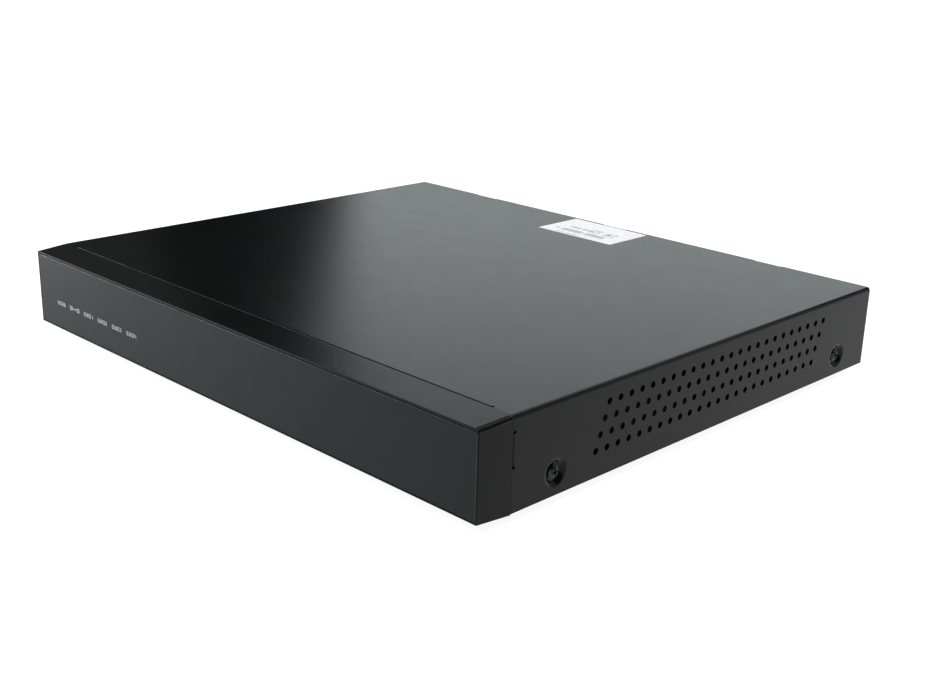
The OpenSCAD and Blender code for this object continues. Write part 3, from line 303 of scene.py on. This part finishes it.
class Print:
    """Thin flat shapes on a plane: origin, u to the right, v up, all drawn in millimetres."""

    def __init__(self, origin, u, v, thickness=0.03):
        self.origin, self.u, self.v = Vector(origin), Vector(u), Vector(v)
        self.n = self.u.cross(self.v)
        self.thickness = thickness
        self.verts, self.faces = [], []

    def point(self, x, y, h):
        return self.origin + (self.u * x + self.v * y + self.n * h) * MM

    def prism(self, points):
        first, count = len(self.verts), len(points)
        for h in (0, self.thickness):
            self.verts += [self.point(x, y, h) for x, y in points]
        self.faces.append([first + count + i for i in range(count)])
        self.faces.append([first + i for i in reversed(range(count))])
        for i in range(count):
            j = (i + 1) % count
            self.faces.append([first + i, first + j, first + count + j, first + count + i])

    def rect(self, x, y, w, h):
        self.prism([(x, y), (x + w, y), (x + w, y + h), (x, y + h)])

    def frame(self, x, y, w, h, line):
        self.rect(x, y, w, line)
        self.rect(x, y + h - line, w, line)
        self.rect(x, y + line, line, h - 2 * line)
        self.rect(x + w - line, y + line, line, h - 2 * line)

    def disc(self, cx, cy, r, sides=20):
        turn = 2 * math.pi / sides
        self.prism([(cx + r * math.cos(i * turn), cy + r * math.sin(i * turn)) for i in range(sides)])

    def arc(self, cx, cy, r, line, start=0.0, end=360.0, sides=24):
        """A ring, or part of one, made of short four-sided pieces."""
        steps = max(3, round(sides * (end - start) / 360))
        angles = [math.radians(start + (end - start) * i / steps) for i in range(steps + 1)]
        for a, b in zip(angles, angles[1:]):
            self.prism([
                (cx + (r - line) * math.cos(a), cy + (r - line) * math.sin(a)),
                (cx + r * math.cos(a), cy + r * math.sin(a)),
                (cx + r * math.cos(b), cy + r * math.sin(b)),
                (cx + (r - line) * math.cos(b), cy + (r - line) * math.sin(b)),
            ])

    def digit(self, n, x, y, w, h, line):
        """A plain numeral made of straight strokes."""
        strokes = {
            "top": (x, y + h - line, w, line),
            "middle": (x, y + (h - line) / 2, w, line),
            "bottom": (x, y, w, line),
            "upper_left": (x, y + h / 2, line, h / 2),
            "lower_left": (x, y, line, h / 2),
            "upper_right": (x + w - line, y + h / 2, line, h / 2),
            "lower_right": (x + w - line, y, line, h / 2),
        }
        shown = {
            "0": "top bottom upper_left lower_left upper_right lower_right",
            "1": "upper_right lower_right",
            "2": "top middle bottom upper_right lower_left",
            "3": "top middle bottom upper_right lower_right",
            "4": "middle upper_left upper_right lower_right",
            "5": "top middle bottom upper_left lower_right",
            "6": "top middle bottom upper_left lower_left lower_right",
            "7": "top upper_right lower_right",
            "8": "top middle bottom upper_left lower_left upper_right lower_right",
            "9": "top middle bottom upper_left upper_right lower_right",
        }
        for stroke in shown[n].split():
            self.rect(*strokes[stroke])

    def number(self, text, x, y, w, h, line):
        for i, n in enumerate(text):
            self.digit(n, x + i * (w + line), y, w, h, line)

    def build(self, name, look, slot, body="case"):
        add_piece(name, mesh_from(name, self.verts, self.faces), look, body)


def mesh_from(name, verts, faces):
    mesh = bpy.data.meshes.new(name)
    mesh.from_pydata([tuple(v) for v in verts], [], faces)
    mesh.validate()
    return mesh


def add_piece(name, mesh, look, body="case"):
    """Puts a mesh in the scene as a piece with a look, riding on a body."""
    mesh.materials.append(LOOKS[look])
    o = bpy.data.objects.new(name, mesh)
    bpy.context.scene.collection.objects.link(o)
    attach(o, body)
    return o


# ---------- edges of the front ----------

def outline(low, high, radius, steps=8):
    """Rounded rectangle in x and z, in millimetres, from its lower left and upper right corners."""
    right, top, left, bottom = high[0], high[1], low[0], low[1]
    points = []
    for cx, cz, start in ((right, top, 0), (left, top, 90), (left, bottom, 180), (right, bottom, 270)):
        mx = cx - math.copysign(radius, cx)
        mz = cz - radius if cz == top else cz + radius
        for i in range(steps + 1):
            a = math.radians(start + 90 * i / steps)
            points.append((mx + radius * math.cos(a), mz + radius * math.sin(a)))
    return points


def band(name, look, loops, closed=True):
    """Four-sided strip through loops of (points, y), each with the same number of points."""
    count = len(loops[0][0])
    verts = [Vector((x, y, z)) * MM for points, y in loops for x, z in points]
    faces = []
    for a in range(4):
        b = (a + 1) % 4
        for i in range(count if closed else count - 1):
            j = (i + 1) % count
            faces.append((a * count + i, b * count + i, b * count + j, a * count + j))
    if not closed:
        faces.append([k * count for k in range(4)])
        faces.append([k * count + count - 1 for k in reversed(range(4))])
    mesh = mesh_from(name, verts, faces)
    bm = bmesh.new()
    bm.from_mesh(mesh)
    bmesh.ops.recalc_face_normals(bm, faces=bm.faces)
    bm.to_mesh(mesh)
    bm.free()
    add_piece(name, mesh, look)


PANEL_CORNER = 1.8
GROOVE = 0.6
SIDE_GROOVE = 0.3


def panel_edges():
    """Painted highlight along the panel's chamfer, a paler strip, and painted shade in the groove above the
    panel, a near-black strip.
    """
    low, high, face = PANEL_LOW / MM, PANEL_HIGH / MM, PANEL_LOW.y / MM

    def inset(by):
        corners = (low.x + by, low.z + by), (high.x - by, high.z - by)
        return outline(*corners, PANEL_CORNER - by)

    inner, outer = inset(0.36), inset(0.1)
    # Painted highlight: a paler strip on the chamfer in place of the light it catches
    band("panel_edge_painted_highlight", "edge",
         ((inner, face + 0.02), (outer, face + 0.28), (outer, face + 0.36), (inner, face + 0.1)))
    # The painted shade, a near-black strip in the groove, runs from partway round one upper corner to partway
    # round the other
    upper = slice(3, 15)
    front, back = face + 0.1, face + 1.2
    corners = (low.x - SIDE_GROOVE, low.z), (high.x + SIDE_GROOVE, high.z + GROOVE)
    wall = outline(*corners, PANEL_CORNER + GROOVE)[upper]
    lap = inset(0.07)[upper]
    band("panel_groove_painted_shade", "shade_strip",
         ((lap, front), (wall, front), (wall, back), (lap, back)), closed=False)


def seam_painted_highlight():
    """Painted highlight: a paler strip along the bezel's rear edge at the seam on top, standing in for the
    light that edge catches.
    """
    length, width, gap = 408, 0.5, 0.17
    p = Print((0, COVER_LOW.y, COVER_HIGH.z - 0.01 * MM), X, Y, 0.02)
    p.rect(-length / 2, -gap - width, length, width)
    # Painted highlight strip just in front of the seam
    p.build("seam_painted_highlight", "seam", "powder_coat")


panel_edges()
seam_painted_highlight()


# ---------- legends ----------

LAMP_X = [-189 + 18.2 * i for i in range(6)]
LEGEND_DROP = 35.3
CAP = 2.8
LINE = 0.42


def power_legend(p, x):
    p.arc(x - 3.7, CAP / 2, CAP / 2, LINE, 120, 420)
    p.rect(x - 3.7 - LINE / 2, CAP / 2, LINE, CAP / 2 + 0.1)
    p.frame(x - 1.4, 0.2, 2.6, CAP - 0.6, LINE)
    p.rect(x - 0.9, CAP - 0.4, LINE, 0.5)
    p.rect(x + 0.3, CAP - 0.4, LINE, 0.5)
    for i in range(3):
        p.rect(x + 2.4 + i * 1.1, 0, LINE * 1.2, CAP)


def link_legend(p, x):
    p.frame(x - 6.4, 0, 3.4, CAP, LINE)
    p.rect(x - 5.6, CAP / 2 - LINE / 2, 1.8, LINE)
    p.rect(x - 2.2, CAP / 2 - LINE / 2, 3.2, LINE)
    p.prism([(x + 0.4, 0.5), (x + 1.9, CAP / 2), (x + 0.4, CAP - 0.5)])
    p.frame(x + 2.8, 0, 3.4, CAP, LINE)
    p.disc(x + 4.5, CAP / 2, 0.55, 12)


def drive_legend(p, x, n):
    for i in range(3):
        p.rect(x - 5.8, i * (CAP - LINE) / 2, 2.5, LINE)
    p.rect(x - 5.8, 0, LINE, CAP)
    p.arc(x - 1.2, CAP / 2, CAP / 2, LINE)
    p.disc(x - 1.2, CAP / 2, 0.45, 12)
    p.frame(x + 0.9, 0, 2.2, CAP, LINE)
    p.digit(str(n), x + 4.1, 0, 1.7, CAP, LINE)


def front_legends():
    p = Print((0, PANEL_LOW.y, COVER_HIGH.z - LEGEND_DROP * MM), X, Z, 0.05)
    power_legend(p, LAMP_X[0])
    link_legend(p, LAMP_X[1])
    for n, x in enumerate(LAMP_X[2:], start=1):
        drive_legend(p, x, n)
    p.build("front_legends", "print", "label_film")


front_legends()


# ---------- top label ----------

def label_print():
    mid = (LABEL_LOW + LABEL_HIGH) / 2
    p = Print((mid.x, mid.y, LABEL_HIGH.z), X, Y, 0.02)
    # Bar pattern whose widths step through a short cycle, with a gap in the middle
    widths = (0.3, 0.6, 0.3, 0.9, 0.45)
    x = -20.8
    step = 0
    while x < 20.5:
        w = widths[(step * 3) % 5]
        if not -1.2 < x < 0.8:
            p.rect(x, -14.2, w, 6.4)
        x += w + widths[(step * 2 + 1) % 5]
        step += 1
    # Greeked words: a short one beside the bars and a longer line above them
    for x0, y0, h, count in ((-28, -11, 1.8, 4), (-20, -2.4, 2.8, 11), (-20, -20, 1.3, 26)):
        x = x0
        for i in range(count):
            w = h * (0.35 + 0.12 * ((i * 5) % 3))
            if i % 6 != 5:
                p.rect(x, y0, w, h)
            x += w + h * 0.2
    # Plain symbols: a ring in a frame, then a triangle over two bars
    p.arc(3.6, 0, 3.4, 0.8)
    p.frame(-0.8, -4.4, 8.8, 8.8, 0.5)
    p.prism([(13.5, -1.5), (18.5, -1.5), (16, 3.8)])
    p.rect(13.2, -4.2, 10.2, 1.1)
    p.arc(21.4, 1.2, 2.4, 0.7)
    p.build("label_marks", "ink", "label_film")


label_print()


# ---------- rear details ----------

JACK_X = [203 - 14 * i for i in range(8)]
JACK_ROWS = (24, 41)
AUDIO_ROWS = (6.5, 20.5)
TERMINAL_OFFSETS = [(i - 3.5) * 3.81 for i in range(8)]
GROUND_SCREW_X = -112


class Blocks:
    """Boxes, cylinders and prisms gathered into one piece, all drawn in millimetres."""

    def __init__(self):
        self.bm = bmesh.new()

    def box(self, low, high):
        low, high = Vector(low) * MM, Vector(high) * MM
        size, mid = high - low, (high + low) / 2
        shape = Matrix.Translation(mid) @ Matrix.Diagonal((*size, 1))
        bmesh.ops.create_cube(self.bm, size=1, matrix=shape)

    def post(self, center, r, y0, y1, sides=24):
        """Cylinder along y."""
        center = Vector((center[0], (y0 + y1) / 2, center[1])) * MM
        turn = Matrix.Rotation(math.radians(90), 4, "X")
        bmesh.ops.create_cone(self.bm, cap_ends=True, segments=sides, radius1=r * MM, radius2=r * MM,
                              depth=(y1 - y0) * MM, matrix=Matrix.Translation(center) @ turn)

    def tube(self, center, r0, r1, y0, y1, sides=32):
        """Ring along y with inner radius r0 and outer radius r1."""
        rows = []
        for r, y in ((r0, y0), (r1, y0), (r1, y1), (r0, y1)):
            rows.append([
                self.bm.verts.new(Vector((center[0] + r * math.cos(2 * math.pi * i / sides), y,
                                          center[1] + r * math.sin(2 * math.pi * i / sides))) * MM)
                for i in range(sides)
            ])
        for a, b in zip(rows, rows[1:] + rows[:1]):
            for i in range(sides):
                j = (i + 1) % sides
                self.bm.faces.new((a[i], b[i], b[j], a[j]))

    def build(self, name, look, slot, bevel=0.0):
        bmesh.ops.recalc_face_normals(self.bm, faces=self.bm.faces)
        mesh = bpy.data.meshes.new(name)
        self.bm.to_mesh(mesh)
        self.bm.free()
        o = add_piece(name, mesh, look)
        if bevel:
            mod = o.modifiers.new("bevel", "BEVEL")
            mod.width = bevel * MM
            mod.segments = 2
            mod.limit_method = "ANGLE"
            mod.harden_normals = True


def middle(name):
    low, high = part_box(name)
    return (low + high) / 2 / MM


def socket_details():
    """Plastic tongues and plated contacts inside the small metal sockets."""
    back = REAR_FACE / MM
    usb, hdmi, esata, network = (middle(f"{n}_socket") for n in ("usb", "hdmi", "esata", "network"))
    white, black, gold = Blocks(), Blocks(), Blocks()
    for z in (usb.z - 2.9, usb.z + 4.9):
        white.box((usb.x - 5.53, back - 9, z - 0.93), (usb.x + 5.53, back - 0.55, z + 0.93))
        for i in range(4):
            x = usb.x + (i - 1.5) * 2.4
            gold.box((x - 0.5, back - 8.6, z - 0.98), (x + 0.5, back - 1.2, z - 0.9))
    for place, w, h, shift, count in ((hdmi, 11, 1.4, 0.3, 10), (esata, 9, 1.3, 0.5, 7)):
        z = place.z + shift
        black.box((place.x - w / 2 - 0.03, back - 9, z - h / 2 - 0.03),
                  (place.x + w / 2 + 0.03, back - 0.65, z + h / 2 + 0.03))
        for i in range(count):
            x = place.x + (i - (count - 1) / 2) * (w - 1.5) / count
            gold.box((x - 0.22, back - 8.6, z - h / 2 - 0.08), (x + 0.22, back - 1.4, z - h / 2))
    black.box((network.x - 5.9, back - 14, network.z + 4.15), (network.x + 5.9, back + 0.3, network.z + 4.3))
    black.box((network.x - 5.9, back - 14, network.z - 3.1), (network.x - 3, back + 0.3, network.z - 2.95))
    black.box((network.x + 3, back - 14, network.z - 3.1), (network.x + 5.9, back + 0.3, network.z - 2.95))
    for side in (-1, 1):
        x = network.x + side * 5.83
        black.box((x - 0.07, back - 14, network.z - 3.1), (x + 0.07, back + 0.3, network.z + 4.3))
    black.box((network.x - 5.9, back - 14, network.z - 3.1), (network.x + 5.9, back - 13.8, network.z + 4.3))
    for i in range(8):
        x = network.x + (i - 3.5) * 1.02
        gold.box((x - 0.18, back - 12, network.z + 3.1), (x + 0.18, back - 2.5, network.z + 3.4))
        gold.box((x - 0.18, back - 12, network.z + 1.4), (x + 0.18, back - 11.7, network.z + 3.3))
    white.build("usb_tongues", "white_plastic", "white_plastic", 0.12)
    black.build("socket_plastics", "black_plastic", "black_plastic")
    gold.build("socket_contacts", "gold", "brass")


def jack_details():
    """Centre contacts of the video jacks and the coloured rings of the audio jacks."""
    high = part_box("video_jacks")[1] / MM
    audio_low, audio_high = (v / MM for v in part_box("audio_jacks"))
    pins = Blocks()
    for jack_x in JACK_X:
        for z in JACK_ROWS:
            pins.tube((jack_x, z), 0.35, 0.7, high.y - 9, high.y - 4.6, 16)
    pins.build("video_pins", "gold", "brass")
    x = (audio_low.x + audio_high.x) / 2
    rings = ("audio_ring_low", "white_plastic"), ("audio_ring_high", "red_plastic")
    for (name, look), z in zip(rings, AUDIO_ROWS):
        ring = Blocks()
        ring.tube((x, audio_low.z + z), 1.72, 3.0, audio_high.y - 1, audio_high.y + 0.03)
        ring.build(name, look, "white_plastic")
    shells = Blocks()
    for z in AUDIO_ROWS:
        shells.tube((x, audio_low.z + z), 3.5, 4.2, REAR_FACE / MM + 0.1, audio_high.y + 0.02)
    shells.build("audio_shells", "nickel", "nickel", 0.1)


def rear_trim():
    """Plated hex posts of the screen socket, terminal screws and the label on the fan's hub."""
    face = REAR_FACE / MM
    vga, terminal = middle("vga_socket"), middle("terminal_block")
    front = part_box("terminal_block")[1].y / MM
    plated = Blocks()
    for side in (-1, 1):
        plated.tube((vga.x + side * 12.5, vga.z), 1.32, 2.84, face + 0.06, face + 5.03, 6)
    for shift in TERMINAL_OFFSETS:
        x = terminal.x + shift
        for half in (-1, 1):
            z = terminal.z + 3 + half * 0.66
            plated.box((x - 1.05, front - 2.15, z - 0.45), (x + 1.05, front - 1.5, z + 0.45))
        plated.post((x, terminal.z + 3), 1.3, front - 2.2, front - 1.9)
    plated.build("rear_plated_trim", "nickel", "nickel")
    low, high = (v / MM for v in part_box("rear_fan_frame"))
    badge = Blocks()
    badge.post(((low.x + high.x) / 2, (low.z + high.z) / 2), 7.6, high.y, high.y + 0.03, 48)
    badge.build("fan_badge", "badge", "label_film")


def rear_print():
    """Numerals beside the video jacks and terminals, and plain symbols beside the other connectors."""
    p = Print((0, REAR_FACE, 0), -X, Z, 0.02)
    for i, jack_x in enumerate(JACK_X):
        x = -jack_x - 7
        for text, z in ((str(i + 1), 45.9), (str(i + 9), 16.9)):
            w = 1.1 if len(text) == 1 else 2.4
            p.number(text, x - w / 2, z, 1.1, 2.2, 0.25)
    terminal = middle("terminal_block")
    for i, shift in enumerate(TERMINAL_OFFSETS):
        p.number(str(i + 1), -terminal.x + shift - 0.5, 29.2, 1.0, 1.9, 0.22)
    p.rect(-terminal.x - 15.5, 28.2, 31, 0.25)
    # Audio: arrows out and in; screen; storage; network: linked squares
    x = -middle("audio_jacks").x
    for z, way in ((46.6, 1), (16.0, -1)):
        p.prism([(x - 1.2 * way, z - 1), (x + 1.2 * way, z), (x - 1.2 * way, z + 1)][::way])
    x = -middle("vga_socket").x
    p.frame(x - 2.4, 32.4, 4.8, 3, 0.3)
    p.rect(x - 1, 31.5, 2, 0.4)
    x = -middle("hdmi_socket").x
    p.frame(x - 2.4, 25.6, 4.8, 2.7, 0.3)
    p.rect(x - 1.5, 26.7, 3, 0.4)
    x = -middle("esata_socket").x
    p.arc(x, 27.6, 1.6, 0.3)
    p.disc(x, 27.6, 0.45)
    x = -middle("usb_socket").x
    p.disc(x - 2.6, 36, 0.6)
    p.rect(x - 2.2, 35.85, 3.6, 0.3)
    p.prism([(x + 1.4, 35.2), (x + 2.8, 36), (x + 1.4, 36.8)])
    x = -middle("network_socket").x
    for dx, dz in ((-2.4, 0), (1.2, 0), (-0.6, 2.4)):
        p.frame(x + dx, 32.2 + dz, 1.3, 1.3, 0.25)
    p.rect(x - 1.75, 33.95, 3.6, 0.22)
    p.rect(x - 0.1, 33.5, 0.22, 1.1)
    # Earth mark over the ground screw, and a wave over the inlet
    x = -GROUND_SCREW_X
    for i, w in enumerate((1.0, 2.2, 3.4)):
        p.rect(x - w / 2, 24 + i * 0.75, w, 0.32)
    p.rect(x - 0.16, 25.6, 0.32, 2)
    inlet = -middle("mains_inlet").x
    for i in range(8):
        a, b = i * 45, (i + 1) * 45
        za, zb = (1.1 * math.sin(math.radians(v)) for v in (a, b))
        xa, xb = inlet - 3 + i * 0.75, inlet - 3 + (i + 1) * 0.75
        p.prism([(xa, 47.8 + za), (xb, 47.8 + zb), (xb, 48.15 + zb), (xa, 48.15 + za)])
    p.build("rear_print", "print", "label_film")


def rocker_marks():
    """A bar and a ring on the two lobes of the power rocker."""
    low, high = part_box("power_switch")
    hinge = Vector(((low.x + high.x) / 2, REAR_FACE - 1.6 * MM, (low.z + high.z) / 2))
    rest = Matrix.Rotation(math.radians(-12), 3, "Z")
    slope = math.atan2(1.8, 7.6)
    for name, side in (("rocker_on", -1), ("rocker_off", 1)):
        along = rest @ Vector((-math.cos(slope), -side * math.sin(slope), 0))
        mid = rest @ (Vector((side * 3.8, 4.5, 0)) * MM)
        p = Print(hinge + mid, along, Z, 0.02)
        if side < 0:
            p.rect(-0.2, -1.4, 0.4, 2.8)
        else:
            p.arc(0, 0, 1.4, 0.4)
        p.build(name, "print", "label_film", "rocker")


socket_details()
jack_details()
rear_trim()
rear_print()
rocker_marks()


# ---------- floor, lights, camera ----------

FLOOR_HALF = 30
FLOOR_GLOW = 0.93


def floor():
    mesh = bpy.data.meshes.new("floor")
    corners = [(FLOOR_HALF * x, FLOOR_HALF * y, 0) for x, y in ((-1, -1), (1, -1), (1, 1), (-1, 1))]
    mesh.from_pydata(corners, [], [(0, 1, 2, 3)])
    o = bpy.data.objects.new("floor", mesh)
    bpy.context.scene.collection.objects.link(o)
    s = Shader("floor_paper", (0.25, 0.25, 0.25), 0.9, specular=0.1)
    s.set("Emission Color", (1, 1, 1, 1))
    s.set("Emission Strength", FLOOR_GLOW)
    mesh.materials.append(s.material)


def softbox(name, place, target, size, power, color=(1, 1, 1)):
    light = bpy.data.lights.new(name, "AREA")
    light.shape = "RECTANGLE"
    light.size, light.size_y = size
    light.energy = power
    light.color = color
    o = bpy.data.objects.new(name, light)
    o.location = place
    o.rotation_euler = (Vector(target) - Vector(place)).to_track_quat("-Z", "Y").to_euler()
    bpy.context.scene.collection.objects.link(o)


def ceiling(energy, spread, tilt):
    """Broad soft light from above, its spread and tilt in degrees."""
    light = bpy.data.lights.new("ceiling", "SUN")
    light.energy = energy
    light.angle = math.radians(spread)
    o = bpy.data.objects.new("ceiling", light)
    o.rotation_euler = (math.radians(tilt), 0, 0)
    bpy.context.scene.collection.objects.link(o)


def room(color, strength):
    world = bpy.data.worlds.new("studio")
    world.use_nodes = True
    background = world.node_tree.nodes["Background"]
    background.inputs["Color"].default_value = (*color, 1)
    background.inputs["Strength"].default_value = strength
    bpy.context.scene.world = world


def camera(target, distance, azimuth, elevation, roll, lens):
    """Camera at a distance from its target, turned by angles in degrees."""
    data = bpy.data.cameras.new("camera")
    data.lens = lens
    data.sensor_width = 36
    data.clip_start = 0.01
    o = bpy.data.objects.new("camera", data)
    a, e = math.radians(azimuth), math.radians(elevation)
    back = Vector((math.sin(a) * math.cos(e), -math.cos(a) * math.cos(e), math.sin(e)))
    turn = (-back).to_track_quat("-Z", "Y").to_matrix() @ Matrix.Rotation(math.radians(roll), 3, "Z")
    o.matrix_world = Matrix.Translation(Vector(target) + back * distance) @ turn.to_4x4()
    bpy.context.scene.collection.objects.link(o)
    bpy.context.scene.camera = o


floor()
softbox("back_softbox", (-0.615, 1.115, 0.67), (0, 0, 0.03), (1.26, 1.0), 5.35, (0.915, 0.995, 1.0))
softbox("overhead", (0.3, 0.1, 1.25), (0, 0, 0.06), (1.0, 1.0), 8.5)
softbox("low_left", (-1.0, -0.45, 0.24), (-0.2, -0.19, 0.03), (0.5, 0.4), 18.0, (0.88, 0.95, 1.0))
softbox("back_top", (0.1, 1.0, 1.02), (0.1, 0.0, 0.05), (1.0, 0.5), 2.2, (0.94, 1.0, 1.0))
softbox("right_card", (1.0, 1.0, 0.5), (0.22, 0, 0.03), (0.9, 0.7), 1.7, (0.94, 1.0, 1.0))
softbox("left_card", (-1.13, 0.17, 0.62), (-0.15, -0.18, 0.06), (0.55, 0.65), 0.12)
ceiling(energy=1.0, spread=70, tilt=12)
room((0.9, 0.95, 1.0), 0.005)
bpy.context.scene.view_settings.view_transform = "Standard"
camera(target=(-0.0118, 0.0307, -0.0127), distance=0.95, azimuth=44.64, elevation=19.02, roll=1.56,
       lens=50.14)
